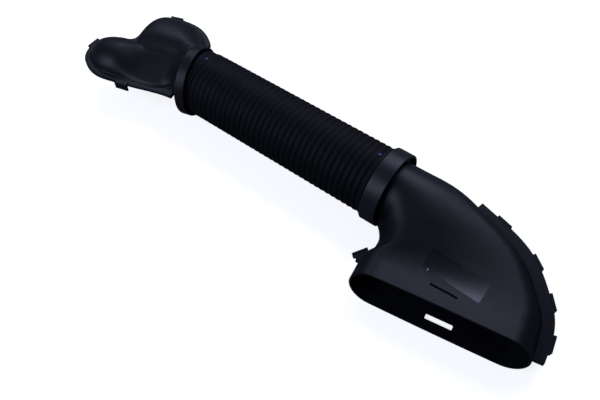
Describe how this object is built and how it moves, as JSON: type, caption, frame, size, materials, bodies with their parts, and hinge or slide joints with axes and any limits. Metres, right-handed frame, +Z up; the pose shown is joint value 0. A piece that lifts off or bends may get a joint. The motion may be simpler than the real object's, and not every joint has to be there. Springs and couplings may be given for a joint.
{
  "type": "air intake hose",
  "caption": "Car air intake hose: a corrugated hose between a two-shell elbow with a long flat mouth and a two-shell boot with a round outlet.",
  "frame": {"origin": "middle of the part's bounding box, at its lowest level, where it rests on the ground", "axes": "+X along the hose towards the front duct, +Z up, the flat mouth faces -Y"},
  "size_m": [0.652, 0.1834, 0.086],
  "materials": {
    "duct_plastic": "satin black moulded plastic with a fine grain",
    "collar_plastic": "smooth satin black",
    "hose_plastic": "matt black, soft blow-moulded plastic"
  },
  "bodies": {
    "root": {"corrugated_hose": "hose_plastic", "front_collar": "collar_plastic", "front_duct_upper": "duct_plastic", "front_duct_lower": "duct_plastic", "rear_duct_upper": "duct_plastic", "rear_duct_lower": "duct_plastic"}
  },
  "joints": []
}
